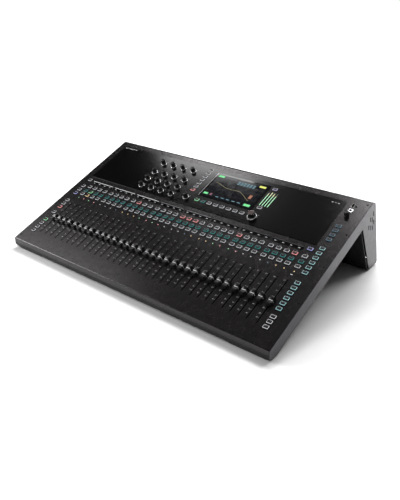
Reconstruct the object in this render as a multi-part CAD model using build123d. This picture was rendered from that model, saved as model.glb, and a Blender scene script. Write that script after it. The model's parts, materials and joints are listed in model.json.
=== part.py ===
from build123d import *
import os
from math import cos, radians, sin

# A digital mixing console: a sloping control surface in a thin slab, on a tapered rear housing that
# carries the sockets. Sizes are in millimetres. Parts are drawn in panel coordinates and then placed:
#   x  across the console, from its centre line
#   v  up the sloping top, from its front edge
#   n  out of the top surface (negative inside the case)

# ---- case ----
WIDTH = 800.0
SLOPE_DEG = 21.0
CASE_LENGTH = 469.0          # along the slope, front edge to rear face
SLAB_DEPTH = 33.0            # the thin front part of the case
NOSE_HEIGHT = 25.2           # upright front face
APEX_V = 399.0               # where the slab meets the rear housing
LEG_TAPER = 0.1536           # the housing's front wall, v gained for each millimetre down
REAR_BEND = 16.0
REAR_FOOT_BEND = 6.0
FRONT_BEND = 3.0
SHEET = 1.5
CHEEK = 1.5
SEAM = 0.8
FOOT_HEIGHT = 3.5
LIP_HEIGHT = 12.5            # the top panel's share of the front face
REAR_LIP = 24.0              # the top panel's share of the rear face
HOUSING_UPSTAND = 6.8        # the housing floor's fold behind the rear panel's lower edge

# ---- faders and channel strips ----
CHANNELS = 32
BANK = 4
CHANNEL_PITCH = 20.4
BANK_PITCH = 85.6
FIRST_CHANNEL_U = 55.0       # u is measured from the console's left side
MASTER_U = 740.0
SLOT_START_V = 46.5
SLOT_LENGTH = 125.0
SLOT_WIDTH = 2.6
FADER_REST_V = 103.0
CAP_WIDTH = 11.5
CAP_LENGTH = 22.0
CAP_HEIGHT = 10.5
CAP_GAP = 1.2                # cap's underside above the panel
LED_V = 197.4
LISTEN_V = 212.5
SELECT_V = 227.4
MUTE_V = 244.6

# ---- keys ----
KEY_WIDTH = 12.0
KEY_LENGTH = 8.6
KEY_HEIGHT = 2.6
KEY_CLEARANCE = 0.4
KEY_STEM_END = -3.4
SWITCH_TOP = -4.8
LEFT_KEY_U = 31.0
RIGHT_KEY_U = 763.0
LEFT_KEYS_V = (44.0, 59.0, 74.5, 90.0, 122.0, 145.0, 160.0, 175.0, 208.0, 224.5, 241.0, 269.0)
RIGHT_KEY_GROUPS = ((45.5, 13.8, 3), (96.0, 15.0, 6), (203.0, 15.4, 6), (310.5, 15.6, 4))
MASTER_TOP_KEY_V = 269.0

# ---- upper control area ----
FASCIA = (23.0, 285.0, 745.0, 439.0)      # u, v, u, v of its corners
FASCIA_THICKNESS = 1.2
GLASS = (381.0, 329.0, 547.0, 426.0)
GLASS_THICKNESS = 3.0
GLASS_TOP = 1.5
ENCODER_COLUMNS_U = (201.0, 237.0, 272.0, 308.0)
ENCODER_ROWS_V = (408.0, 367.0, 336.0, 307.0)
LONE_ENCODER = (355.5, 311.5)
MAIN_KNOB = (561.0, 310.5)
SIDE_KEY_U = 355.5
SIDE_KEYS_V = (343.0, 14.3, 7)            # first, pitch, count
LOWER_KEYS_U = (391.0, 19.86, 8)
LOWER_KEY_V = 313.0
RIGHT_SCREEN_KEYS = ((561.0, 419.0), (561.0, 345.5))
METER_BARS_U = (555.0, 562.5, 570.0, 577.5)
METER_V = (353.0, 406.0)
METER_BAR_WIDTH = 3.0
DISPLAY_V = 265.0
DISPLAY_SIZE = (79.0, 10.5)

# ---- knobs ----
ENCODER_RADIUS = 6.2
ENCODER_HEIGHT = 13.5
MAIN_KNOB_RADIUS = 9.5
MAIN_KNOB_HEIGHT = 15.0
LEVEL_KNOB_RADIUS = 6.0
LEVEL_KNOB_HEIGHT = 13.0
SHAFT_RADIUS = 2.95
SHAFT_BORE = 3.0
BUSHING_RADIUS = 3.6
JACK_COLLAR = 7.0
JACK_COLLAR_HEIGHT = 2.4
LEVEL_KNOB = (764.0, 395.0)
JACK_LARGE = (764.8, 413.3)
JACK_SMALL = (769.6, 431.0)
USB_A = (761.9, 431.0)

# ---- boards ----
CONTROL_BOARD_TOP = -8.0
BOARD = 1.6

# ---- edge screws ----
SCREW_INSET = 9.3
SCREW_V = (17.5, 124.5, 231.5, 338.5, 445.3)
SCREW_HEAD = 2.6
SCREW_SHANK = 1.5

# ---- rear sockets: rows are depths below the top surface ----
XLR_PITCH = 29.0
XLR_ROWS = (-62.0, -99.0)
INPUT_COLUMNS = 16
INPUT_START_X = -369.0
OUTPUT_COLUMNS = 6
OUTPUT_START_X = 118.0
LOWER_ROW = -141.0
LINE_JACKS_X = (-369.0, -340.0, -311.0, -282.0)
RJ45_X = (305.0, 327.0)
USB_B_X = 349.0
INLET_X = 335.0
SWITCH_X = 285.0
ROCKER_TILT = 7.0

RISE = sin(radians(SLOPE_DEG))
RUN = cos(radians(SLOPE_DEG))
TINY = 0.02


def from_upright(y, z):
    """Panel coordinates of a point given upright: y behind and z above the front top edge."""
    return (y * RUN + z * RISE, z * RUN - y * RISE)


def at_level(v=None, n=None, z=-NOSE_HEIGHT):
    """The panel point at an upright height z, on a line of constant v or of constant n."""
    if n is None:
        return (v, (z - v * RISE) / RUN)
    return ((z - n * RUN) / RISE, n)


def on_leg(proud=0.0, z=-NOSE_HEIGHT):
    """The point at an upright height z on the housing's front wall, set forward by proud."""
    start = APEX_V - proud
    drop = (start * RISE - SLAB_DEPTH * RUN - z) / (RUN - LEG_TAPER * RISE)
    return (start + LEG_TAPER * drop, -SLAB_DEPTH - drop)


REAR_FOOT = at_level(v=CASE_LENGTH)
FOOT_CENTRE_N = REAR_FOOT[1] + REAR_FOOT_BEND * (1 + RISE) / RUN
REARMOST_Y = (CASE_LENGTH - REAR_FOOT_BEND) * RUN + REAR_FOOT_BEND - FOOT_CENTRE_N * RISE
PLACE = Location((0, -REARMOST_Y / 2, NOSE_HEIGHT + FOOT_HEIGHT), (SLOPE_DEG, 0, 0))
REAR_FACE = Plane(origin=(0, CASE_LENGTH, 0), x_dir=(-1, 0, 0), z_dir=(0, 1, 0))


def from_left(u):
    return u - WIDTH / 2


def block(x0, x1, v0, v1, n0, n1):
    centre = Pos((x0 + x1) / 2, (v0 + v1) / 2, (n0 + n1) / 2)
    return centre * Box(x1 - x0, v1 - v0, n1 - n0)


def post(x, v, n0, n1, radius):
    return Pos(x, v, (n0 + n1) / 2) * Cylinder(radius, n1 - n0)


def pad(x, v, width, length, radius, n0, n1):
    """A rounded rectangle standing on the panel between two heights."""
    return Pos(x, v, n0) * extrude(RectangleRounded(width, length, radius), n1 - n0)


def across(face, x0, x1):
    """A side profile in (v, n) drawn out across the console."""
    return extrude(Plane.YZ.offset(x0) * face, x1 - x0)


def bent_sheet(points, radii, x0, x1):
    """A sheet whose middle line follows the points, with bends at its inner corners."""
    middle = FilletPolyline(*points, radius=radii) if radii else Polyline(*points)
    return across(trace(middle, SHEET), x0, x1)


def rounded_outline(points, radii):
    corners = FilletPolyline(*points, radius=radii, close=True)
    return make_face(corners)


def rear_part(shape, x, n):
    """Something built on the XY plane, its +Z outwards, set on the rear face."""
    return REAR_FACE * Pos(-x, n, 0) * shape


# ---- places of the repeated controls ----
def channel_u(channel):
    bank, place = divmod(channel, BANK)
    return FIRST_CHANNEL_U + bank * BANK_PITCH + place * CHANNEL_PITCH


def strip_places():
    return [from_left(channel_u(channel)) for channel in range(CHANNELS)] + [from_left(MASTER_U)]


def run_of(first, pitch, count):
    return [first + pitch * step for step in range(count)]


def key_groups():
    """Every key's place on the panel, by the node that holds it."""
    strips = strip_places()
    right = [v for group in RIGHT_KEY_GROUPS for v in run_of(*group)]
    screen = [(from_left(SIDE_KEY_U), v) for v in run_of(*SIDE_KEYS_V)]
    screen += [(from_left(u), LOWER_KEY_V) for u in run_of(*LOWER_KEYS_U)]
    screen += [(from_left(u), v) for u, v in RIGHT_SCREEN_KEYS]
    return {
        "listen_keys": [(x, LISTEN_V) for x in strips],
        "select_keys": [(x, SELECT_V) for x in strips],
        "mute_keys": [(x, MUTE_V) for x in strips],
        "function_keys": [(from_left(LEFT_KEY_U), v) for v in LEFT_KEYS_V],
        "soft_keys": [(from_left(RIGHT_KEY_U), v) for v in right] + [(from_left(MASTER_U), MASTER_TOP_KEY_V)],
        "screen_keys": screen,
    }


def encoder_places():
    grid = [(from_left(u), v) for v in ENCODER_ROWS_V for u in ENCODER_COLUMNS_U]
    return grid + [(from_left(LONE_ENCODER[0]), LONE_ENCODER[1])]


def place_of(pair):
    return (from_left(pair[0]), pair[1])


def display_places():
    middle = FIRST_CHANNEL_U + CHANNEL_PITCH * (BANK - 1) / 2
    return [from_left(middle + BANK_PITCH * bank) for bank in range(CHANNELS // BANK)]


def meter_places():
    return [from_left(u) for u in METER_BARS_U]


def edge_screw_places():
    side = WIDTH / 2 - SCREW_INSET
    return [(x, v) for x in (-side, side) for v in SCREW_V]


def area(box):
    """Centre and size of a rectangle given by its u and v limits."""
    u0, v0, u1, v1 = box
    return from_left((u0 + u1) / 2), (v0 + v1) / 2, u1 - u0, v1 - v0


# ---- holes shared by the top panel and the fascia ----
def control_openings():
    cuts = []
    for places in key_groups().values():
        for x, v in places:
            half_width = KEY_WIDTH / 2 + KEY_CLEARANCE
            half_length = KEY_LENGTH / 2 + KEY_CLEARANCE
            cuts.append(block(x - half_width, x + half_width, v - half_length, v + half_length, -SHEET - 1, 3))
    for x, v in encoder_places() + [place_of(MAIN_KNOB)]:
        cuts.append(post(x, v, -SHEET - 1, 3, BUSHING_RADIUS + 0.05))
    x, v, width, length = area(GLASS)
    half_width, half_length = width / 2 + 0.2, length / 2 + 0.2
    cuts.append(block(x - half_width, x + half_width, v - half_length, v + half_length, -SHEET - 1, 3))
    for x in meter_places():
        cuts.append(block(x - METER_BAR_WIDTH / 2 - 0.1, x + METER_BAR_WIDTH / 2 + 0.1,
                          METER_V[0] - 0.1, METER_V[1] + 0.1, -SHEET - 1, 3))
    return cuts


def panel_openings():
    cuts = []
    slot_end = SLOT_START_V + SLOT_LENGTH
    for x in strip_places():
        cuts.append(block(x - SLOT_WIDTH / 2, x + SLOT_WIDTH / 2, SLOT_START_V, slot_end, -SHEET - 1, 1))
        cuts.append(post(x, LED_V, -SHEET - 1, 1, 1.15))
    for x in display_places():
        half_width, half_length = DISPLAY_SIZE[0] / 2 + 0.2, DISPLAY_SIZE[1] / 2 + 0.2
        cuts.append(block(x - half_width, x + half_width, DISPLAY_V - half_length, DISPLAY_V + half_length,
                          -SHEET - 1, 1))
    for x, v in edge_screw_places():
        cuts.append(post(x, v, -SHEET - 1, 1, SCREW_HEAD + 0.1))
    cuts.append(post(*place_of(LEVEL_KNOB), -SHEET - 1, 1, BUSHING_RADIUS + 0.05))
    cuts.append(post(*place_of(JACK_LARGE), -SHEET - 1, 1, 4.6))
    cuts.append(post(*place_of(JACK_SMALL), -SHEET - 1, 1, 3.1))
    x, v = place_of(USB_A)
    cuts.append(block(x - 3.3, x + 3.3, v - 6.9, v + 6.9, -SHEET - 1, 1))
    return cuts


# ---- case ----
def cheek_outline():
    points = [(0, 0), from_upright(0, -NOSE_HEIGHT), at_level(n=-SLAB_DEPTH), (APEX_V, -SLAB_DEPTH),
              on_leg(), REAR_FOOT, (CASE_LENGTH, 0)]
    radii = [FRONT_BEND, 11.0, 4.0, 2.0, 3.0, REAR_FOOT_BEND, REAR_BEND]
    return rounded_outline(points, radii)


def vent_slots():
    """Staggered upright slots near the top rear corner of a cheek, as (v, n) centres."""
    columns = ((455.0, -31.0, 2), (448.0, -44.0, 2), (439.0, -37.0, 2), (429.0, -54.0, 1))
    return [(v, top - 26.0 * step) for v, top, count in columns for step in range(count)]


def cheek(side):
    outer = side * WIDTH / 2
    inner = outer - side * CHEEK
    x0, x1 = min(inner, outer), max(inner, outer)
    plate = across(cheek_outline(), x0, x1)
    slots = [Pos(v, n) * RectangleRounded(3.6, 15.0, 1.7) for v, n in vent_slots()]
    plate -= [across(slot, x0 - 1, x1 + 1) for slot in slots]
    flange_inner = inner - side * 12.0
    f0, f1 = min(flange_inner, inner), max(flange_inner, inner)
    flange = block(f0, f1, 10.0, 450.0, -SHEET - 2.0, -SHEET)
    holes = [post(x, v, -SHEET - 3, 0, SCREW_SHANK + 0.1) for x, v in edge_screw_places()]
    return plate + (flange - holes)


def top_panel():
    half = WIDTH / 2 - CHEEK - SEAM
    mid = SHEET / 2
    lip_end = from_upright(mid, -LIP_HEIGHT)
    front_corner = from_upright(mid, -mid * (1 - RISE) / RUN)
    points = [lip_end, front_corner, (CASE_LENGTH - mid, -mid), (CASE_LENGTH - mid, -REAR_LIP)]
    panel = bent_sheet(points, [FRONT_BEND - mid, REAR_BEND - mid], -half, half)
    return panel - (control_openings() + panel_openings())


def base_tray():
    half = WIDTH / 2 - CHEEK - SEAM
    mid = SHEET / 2
    under = -SLAB_DEPTH + mid
    front = SHEET + 0.8
    points = [from_upright(front + mid, -LIP_HEIGHT + 4.0),
              from_upright(front + mid, -NOSE_HEIGHT + mid),
              at_level(n=under, z=-NOSE_HEIGHT + mid), (APEX_V - 2.0, under)]
    return bent_sheet(points, [1.5, 3.0], -half, half)


def connector_housing():
    half = WIDTH / 2 - CHEEK - 1.2
    proud = 4.0
    mid = SHEET / 2
    floor = -NOSE_HEIGHT + mid + 0.1
    start = (APEX_V - proud + LEG_TAPER * 0.5, -SLAB_DEPTH - 0.5)
    rear = CASE_LENGTH - 2 * SHEET
    points = [start, on_leg(proud, floor), at_level(v=rear, z=floor), (rear, REAR_FOOT[1] + HOUSING_UPSTAND)]
    return bent_sheet(points, [2.5, 2.5], -half, half)


def rear_panel():
    half = WIDTH / 2 - CHEEK - SEAM
    top, bottom = -REAR_LIP - SEAM, REAR_FOOT[1] + 8.0
    panel = block(-half, half, CASE_LENGTH - SHEET, CASE_LENGTH, bottom, top)
    return panel - rear_openings()


def rear_openings():
    cuts = []
    for x, n in xlr_places(INPUT_START_X, INPUT_COLUMNS) + xlr_places(OUTPUT_START_X, OUTPUT_COLUMNS):
        cuts.append(rear_part(Pos(0, 0, -SHEET) * Cylinder(11.8, 3 * SHEET), x, n))
    for x in LINE_JACKS_X:
        cuts.append(rear_part(Pos(0, 0, -SHEET) * Cylinder(4.7, 3 * SHEET), x, LOWER_ROW))
    for x in RJ45_X:
        cuts.append(rear_part(Box(16.4, 14.4, 3 * SHEET), x, XLR_ROWS[0]))
    cuts.append(rear_part(Box(12.4, 11.4, 3 * SHEET), USB_B_X, XLR_ROWS[0]))
    cuts.append(rear_part(Box(27.4, 20.4, 3 * SHEET), INLET_X, LOWER_ROW))
    cuts.append(rear_part(Box(19.4, 27.4, 3 * SHEET), SWITCH_X, LOWER_ROW))
    for x, n in rear_screw_places():
        cuts.append(rear_part(Cylinder(SCREW_SHANK + 0.1, 3 * SHEET), x, n))
    return cuts


def rear_screw_places():
    return [(x, n) for x in (-385.0, -130.0, 130.0, 385.0) for n in (-36.0, -180.0)]


def feet():
    """Rubber strips: two under the nose and two under the rear housing."""
    floor = -NOSE_HEIGHT - FOOT_HEIGHT
    strips = []
    for side in (-1, 1):
        for y0, y1, length in ((6.0, 22.0, 90.0), (476.0, 498.0, 60.0)):
            corners = [from_upright(y0, floor), from_upright(y1, floor),
                       from_upright(y1, -NOSE_HEIGHT), from_upright(y0, -NOSE_HEIGHT)]
            x0 = side * 345.0 - length / 2
            strips.append(across(make_face(Polyline(*corners, close=True)), x0, x0 + length))
    return strips


def panel_screws():
    screws = []
    for x, v in edge_screw_places():
        head = post(x, v, -SHEET, -0.2, SCREW_HEAD)
        screws.append(head + post(x, v, -9.0, -SHEET, SCREW_SHANK) - post(x, v, -1.1, 0, 1.1))
    for x, n in rear_screw_places():
        screw = Pos(0, 0, 0.7) * Cylinder(2.6, 1.4) + Pos(0, 0, -3.5) * Cylinder(SCREW_SHANK, 7.0)
        screws.append(rear_part(screw - Pos(0, 0, 1.2) * Cylinder(1.1, 1.2), x, n))
    return screws


# ---- controls on the panel ----
def control_fascia():
    x, v, width, length = area(FASCIA)
    return pad(x, v, width, length, 5.0, TINY, FASCIA_THICKNESS) - control_openings()


def touchscreen_glass():
    x, v, width, length = area(GLASS)
    return pad(x, v, width, length, 2.0, GLASS_TOP - GLASS_THICKNESS, GLASS_TOP)


def display_module():
    x, v, width, length = area(GLASS)
    top = GLASS_TOP - GLASS_THICKNESS
    return block(x - width / 2 + 3, x + width / 2 - 3, v - length / 2 + 3, v + length / 2 - 3, top - 5.5, top)


def channel_displays():
    width, length = DISPLAY_SIZE
    return [pad(x, DISPLAY_V, width, length, 0.8, -SHEET - 2.5, 0.5) for x in display_places()]


def light_pipes():
    dots = [post(x, LED_V, -4.5, 0.3, 1.1) for x in strip_places()]
    half = METER_BAR_WIDTH / 2
    bars = [block(x - half, x + half, *METER_V, -3.5, FASCIA_THICKNESS + 0.2) for x in meter_places()]
    return dots + bars


def key_cap(x, v):
    half_width, half_length = KEY_WIDTH / 2, KEY_LENGTH / 2
    cap = block(x - half_width, x + half_width, v - half_length, v + half_length, -1.4, KEY_HEIGHT)
    return cap + block(x - 1.8, x + 1.8, v - 1.8, v + 1.8, KEY_STEM_END, -1.4)


def knob(x, v, radius, height, base):
    """A turned knob with a hollow for the bushing, and its shaft."""
    body = Pos(x, v, base) * extrude(Circle(radius), height - base, taper=2.5)
    hollow = post(x, v, base - 1, base + 3.0, BUSHING_RADIUS + 0.4)
    shaft = post(x, v, CONTROL_BOARD_TOP + 2.0, base + 3.0, SHAFT_RADIUS)
    return body - hollow + shaft


def encoder_body(x, v, top):
    """Square switch body on the control board, with a bushing through the panel."""
    body = block(x - 6, x + 6, v - 6, v + 6, CONTROL_BOARD_TOP + 0.02, -SHEET - TINY)
    body += post(x, v, -SHEET - 0.1, top, BUSHING_RADIUS)
    return body - post(x, v, CONTROL_BOARD_TOP + 1.0, top + 1, SHAFT_BORE)


def ring(x, v, base, height, outer, inner):
    collar = Pos(x, v, base) * extrude(Circle(outer), height, taper=20)
    return collar - post(x, v, base - 1, base + height + 1, inner)


def fader_cap(x):
    """Finger-shaped cap with a scooped top and a centre ridge, on its steel tongue."""
    half = CAP_LENGTH / 2
    side = [(-half, CAP_GAP), (half, CAP_GAP), (half - 1.2, CAP_HEIGHT), (half - 4.2, CAP_HEIGHT),
            (1.4, CAP_HEIGHT - 2.6), (0.5, CAP_HEIGHT - 1.5), (-0.5, CAP_HEIGHT - 1.5),
            (-1.4, CAP_HEIGHT - 2.6), (-half + 4.2, CAP_HEIGHT), (-half + 1.2, CAP_HEIGHT)]
    profile = make_face(Polyline(*side, close=True))
    cap = Pos(0, FADER_REST_V, 0) * across(profile, x - CAP_WIDTH / 2, x + CAP_WIDTH / 2)
    half_tongue = 2.5
    tongue = block(x - 0.6, x + 0.6, FADER_REST_V - half_tongue, FADER_REST_V + half_tongue, -12.0, CAP_GAP + 1)
    return cap + tongue


def fader_body(x):
    """The track under each slot, with the trough that its tongue runs in and its motor."""
    centre = SLOT_START_V + SLOT_LENGTH / 2
    track = block(x - 6.5, x + 6.5, centre - 70, centre + 70, -18.0, -SHEET - TINY)
    trough = block(x - 2.2, x + 2.2, centre - 62, centre + 62, -14.0, 0)
    motor = block(x - 6.5, x + 6.5, centre + 46, centre + 70, -29.0, -18.0)
    return track - trough + motor


# ---- boards and supply ----
def control_board():
    """One board under the keys, notched round the display, with a switch under every key."""
    top, bottom = CONTROL_BOARD_TOP, CONTROL_BOARD_TOP - BOARD
    board = block(-383, 383, 191, 440, bottom, top)
    x, v, width, length = area(GLASS)
    board -= block(x - width / 2 + 1, x + width / 2 - 1, v - length / 2 + 1, v + length / 2 - 1, bottom - 1, top + 1)
    x, v = place_of(JACK_LARGE)
    board -= block(x - 18, 400, v - 8.5, 450, bottom - 1, top + 1)
    board += block(-383, -355, 36, 191, bottom, top) + block(352, 383, 36, 191, bottom, top)
    switches = []
    for places in key_groups().values():
        switches += [block(x - 3, x + 3, v - 3, v + 3, top - 0.1, SWITCH_TOP) for x, v in places]
    return board + switches


def circuit_boards():
    """The processing board in the slab, and the socket board behind the rear face."""
    processing = block(-250, 120, 205, 385, -29.0, -29.0 + BOARD)
    chips = [(-150, 300, 35, 6), (-60, 300, 35, 6), (30, 300, 28, 4), (-150, 240, 24, 4), (-60, 240, 40, 9)]
    for x, v, size, height in chips:
        processing += block(x - size / 2, x + size / 2, v - size / 2, v + size / 2, -27.5, -27.4 + height)
    sockets = block(-383, 275, 443.0, 443.0 + BOARD, -118.0, -44.0)
    return [processing, sockets]


def power_supply():
    case = block(180, 340, 230, 370, -30.5, -11.0)
    vents = [block(200 + 12 * step, 206 + 12 * step, 250, 350, -12.0, -10.0) for step in range(11)]
    return case - vents


# ---- sockets ----
def xlr_places(start, columns):
    return [(start + XLR_PITCH * column, n) for n in XLR_ROWS for column in range(columns)]


def xlr_flange():
    plate = extrude(RectangleRounded(26.0, 31.0, 3.0), 1.6)
    screws = [Pos(sx * 9.5, sy * 12.0, 0.8) * Cylinder(1.7, 2) for sx, sy in ((-1, 1), (1, -1))]
    return plate - screws + Pos(0, 0, -11.0) * Cylinder(11.6, 22.0)


def mic_socket():
    """Female chassis socket: a shell round an insulator with three contact holes."""
    body = xlr_flange() - Pos(0, 0, -5.2) * (Cylinder(9.7, 14) - Cylinder(7.8, 14))
    holes = [Pos(x, y, -2) * Cylinder(1.4, 12) for x, y in ((-4.2, 2.2), (4.2, 2.2), (0, -4.6))]
    tab = Pos(0, 12.6, 1.6) * Box(6.0, 3.2, 1.6)
    return body - holes + tab


def output_socket():
    """Male chassis plug: an open cup with three contact pins."""
    body = xlr_flange() - Pos(0, 0, -5.2) * Cylinder(9.7, 14)
    pins = [Pos(x, y, -7.5) * Cylinder(1.2, 10) for x, y in ((-4.8, 2.4), (4.8, 2.4), (0, -5.4))]
    return body + pins


def line_jack():
    barrel = Pos(0, 0, -9) * Cylinder(7.2, 18 - 2 * SHEET) + Pos(0, 0, -1) * Cylinder(4.6, 8.0)
    nut = Pos(0, 0, 1.2) * extrude(RegularPolygon(6.2, 6), 1.8)
    washer = Pos(0, 0, 0.6) * Cylinder(6.6, 1.2)
    return barrel + washer + nut - Pos(0, 0, -6) * Cylinder(3.25, 20)


def port(width, height, hole_width, hole_height, depth, tongue=0.0):
    """A metal port: a shell with a rectangular mouth and, if asked, a contact tongue."""
    shell = Pos(0, 0, -depth / 2) * Box(width, height, depth) - Pos(0, 0, -depth / 2 + 1) * Box(
        hole_width, hole_height, depth)
    if tongue:
        shell += Pos(0, hole_height / 2 - tongue / 2, -depth / 2) * Box(hole_width - 3, tongue, depth - 4)
    return Pos(0, 0, 0.8) * shell


def data_ports():
    ports = [rear_part(port(16.0, 14.0, 12.0, 9.0, 14.0), x, XLR_ROWS[0]) for x in RJ45_X]
    ports.append(rear_part(port(12.0, 11.0, 8.6, 7.8, 13.0), USB_B_X, XLR_ROWS[0]))
    x, v = place_of(USB_A)
    ports.append(Pos(x, v, 0) * Rot(0, 0, 90) * port(13.2, 6.0, 12.4, 5.2, 14.0))
    return ports


def headphone_sockets():
    x, v = place_of(JACK_LARGE)
    large = post(x, v, -24.0, -SHEET - TINY, 7.0) + post(x, v, -SHEET - 0.1, 1.0, 4.5)
    large += Pos(x, v, TINY) * extrude(Circle(JACK_COLLAR), JACK_COLLAR_HEIGHT - TINY, taper=25)
    large -= post(x, v, -22.0, 3, 3.25)
    x, v = place_of(JACK_SMALL)
    small = block(x - 4, x + 4, v - 5, v + 5, -14.0, -SHEET - TINY) + post(x, v, -SHEET - 0.1, 0.8, 3.0)
    small -= post(x, v, -12.0, 2, 1.8)
    return [large, small]


def mains_inlet():
    """The three-pin inlet and, beside it, the frame of the power switch."""
    flange = extrude(RectangleRounded(48.0, 24.0, 5.0), 2.0)
    inlet = flange + Pos(0, 0, -9.0) * Box(27.0, 20.0, 18.0)
    inlet -= Pos(0, 0, -6.5) * Box(24.0, 17.0, 19.0)
    blades = [Pos(x, y, -11.0) * Box(2.0, 5.0, 10.0) for x, y in ((-7, -3.4), (7, -3.4), (0, 3.6))]
    inlet += blades
    frame = extrude(RectangleRounded(23.0, 31.0, 2.0), 1.6) + Pos(0, 0, -8.0) * Box(19.0, 27.0, 16.0)
    frame -= Pos(0, 0, -5.0) * Box(14.4, 22.8, 16.0)
    return [rear_part(inlet, INLET_X, LOWER_ROW), rear_part(frame, SWITCH_X, LOWER_ROW)]


def power_rocker():
    """A shallow V in side view, standing in its "on" position."""
    side = [(-10.0, -3.0), (0, -6.0), (10.0, -3.0), (10.0, 2.6), (0, 1.0), (-10.0, 2.6)]
    rocker = extrude(Plane.YZ.offset(-6.9) * make_face(Polyline(*side, close=True)), 13.8)
    return rear_part(Rot(ROCKER_TILT, 0, 0) * rocker, SWITCH_X, LOWER_ROW)


# ---- the assembly ----
def fixed_nodes():
    bushing_top = FASCIA_THICKNESS + 2.0
    bodies = [encoder_body(x, v, bushing_top) for x, v in encoder_places() + [place_of(MAIN_KNOB)]]
    bodies.append(encoder_body(*place_of(LEVEL_KNOB), 2.0))
    rings = [ring(x, v, FASCIA_THICKNESS, 0.9, 9.0, 7.2) for x, v in encoder_places()]
    rings.append(ring(*place_of(MAIN_KNOB), FASCIA_THICKNESS, 2.4, 13.0, 10.4))
    return {
        "top_panel": top_panel(),
        "left_cheek": cheek(-1),
        "right_cheek": cheek(1),
        "base_tray": base_tray(),
        "connector_housing": connector_housing(),
        "rear_panel": rear_panel(),
        "control_fascia": control_fascia(),
        "touchscreen_glass": touchscreen_glass(),
        "display_module": display_module(),
        "channel_displays": channel_displays(),
        "light_pipes": light_pipes(),
        "fader_tracks": [fader_body(x) for x in strip_places()],
        "encoder_bodies": bodies,
        "encoder_rings": rings,
        "control_board": control_board(),
        "circuit_boards": circuit_boards(),
        "power_supply": power_supply(),
        "mic_sockets": [rear_part(mic_socket(), *p) for p in xlr_places(INPUT_START_X, INPUT_COLUMNS)],
        "output_sockets": [rear_part(output_socket(), *p)
                           for p in xlr_places(OUTPUT_START_X, OUTPUT_COLUMNS)],
        "line_jacks": [rear_part(line_jack(), x, LOWER_ROW) for x in LINE_JACKS_X],
        "data_ports": data_ports(),
        "headphone_sockets": headphone_sockets(),
        "mains_inlet": mains_inlet(),
        "rubber_feet": feet(),
        "panel_screws": panel_screws(),
    }


def moving_nodes():
    nodes = {}
    strips = strip_places()
    for bank in range(CHANNELS // BANK):
        nodes[f"fader_bank_{bank + 1}"] = [fader_cap(x) for x in strips[bank * BANK:(bank + 1) * BANK]]
    nodes["master_fader"] = fader_cap(strips[-1])
    for number, (x, v) in enumerate(encoder_places(), start=1):
        nodes[f"encoder_knob_{number:02d}"] = knob(x, v, ENCODER_RADIUS, ENCODER_HEIGHT, FASCIA_THICKNESS + 0.8)
    x, v = place_of(MAIN_KNOB)
    nodes["main_knob"] = knob(x, v, MAIN_KNOB_RADIUS, MAIN_KNOB_HEIGHT, FASCIA_THICKNESS + 0.8)
    nodes["level_knob"] = knob(*place_of(LEVEL_KNOB), LEVEL_KNOB_RADIUS, LEVEL_KNOB_HEIGHT, 0.6)
    for name, places in key_groups().items():
        nodes[name] = [key_cap(x, v) for x, v in places]
    nodes["power_rocker"] = power_rocker()
    return nodes


def write(name, shape):
    solids = shape if isinstance(shape, list) else [shape]
    placed = [PLACE * solid for piece in solids for solid in piece.solids()]
    export_step(placed[0] if len(placed) == 1 else Compound(children=placed), f"parts/{name}.step")


os.makedirs("parts", exist_ok=True)
for node_name, node_shape in {**fixed_nodes(), **moving_nodes()}.items():
    write(node_name, node_shape)
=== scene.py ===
import json
from math import cos, pi, radians, sin

import bmesh
import bpy
from mathutils import Matrix, Vector


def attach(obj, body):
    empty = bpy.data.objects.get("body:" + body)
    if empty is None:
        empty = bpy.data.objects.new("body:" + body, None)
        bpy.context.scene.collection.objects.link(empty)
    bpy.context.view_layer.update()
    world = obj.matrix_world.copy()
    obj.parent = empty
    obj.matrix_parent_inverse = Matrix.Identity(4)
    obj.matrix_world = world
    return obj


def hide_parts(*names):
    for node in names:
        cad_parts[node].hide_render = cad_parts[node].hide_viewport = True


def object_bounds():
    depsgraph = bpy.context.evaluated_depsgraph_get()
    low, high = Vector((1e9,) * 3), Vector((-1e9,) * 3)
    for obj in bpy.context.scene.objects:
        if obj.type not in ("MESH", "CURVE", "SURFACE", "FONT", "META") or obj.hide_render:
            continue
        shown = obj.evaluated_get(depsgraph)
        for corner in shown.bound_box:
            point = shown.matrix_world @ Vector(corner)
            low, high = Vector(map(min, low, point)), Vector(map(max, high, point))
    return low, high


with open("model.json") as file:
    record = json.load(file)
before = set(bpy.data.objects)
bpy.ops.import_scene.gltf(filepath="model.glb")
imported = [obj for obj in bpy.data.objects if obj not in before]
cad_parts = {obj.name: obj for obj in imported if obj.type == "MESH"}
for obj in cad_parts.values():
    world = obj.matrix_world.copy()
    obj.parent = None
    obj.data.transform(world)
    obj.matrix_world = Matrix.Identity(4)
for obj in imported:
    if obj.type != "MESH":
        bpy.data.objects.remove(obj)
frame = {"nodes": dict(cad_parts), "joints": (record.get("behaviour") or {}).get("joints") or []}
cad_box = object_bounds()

# Pieces are drawn in millimetres in panel coordinates: x across the console from its centre line,
# v up the sloping top from its front edge, n out of the top surface. PANEL places them in the frame.
MM = 0.001
WELD = 1e-6
SMOOTH_BELOW = radians(32)
CORNER_STEPS = 3
CORNER_LEAST = 0.05
EASED = 0.3                  # share of a slab's edge that is gone where its top begins to round

joints = {joint["name"]: joint for joint in frame["joints"]}
UP = Vector(joints["fader_bank_1_travel"]["axis"])
OUT = Vector(joints["mute_keys_press"]["axis"])
ACROSS = UP.cross(OUT)


def panel_origin():
    """The middle of the front top edge, found from a point of the top surface."""
    on_top = Vector(joints["level_knob_turn"]["pos_m"])
    on_top.x = 0.0
    return on_top + UP * ((cad_box[0].y - on_top.y) / UP.y)


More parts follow.
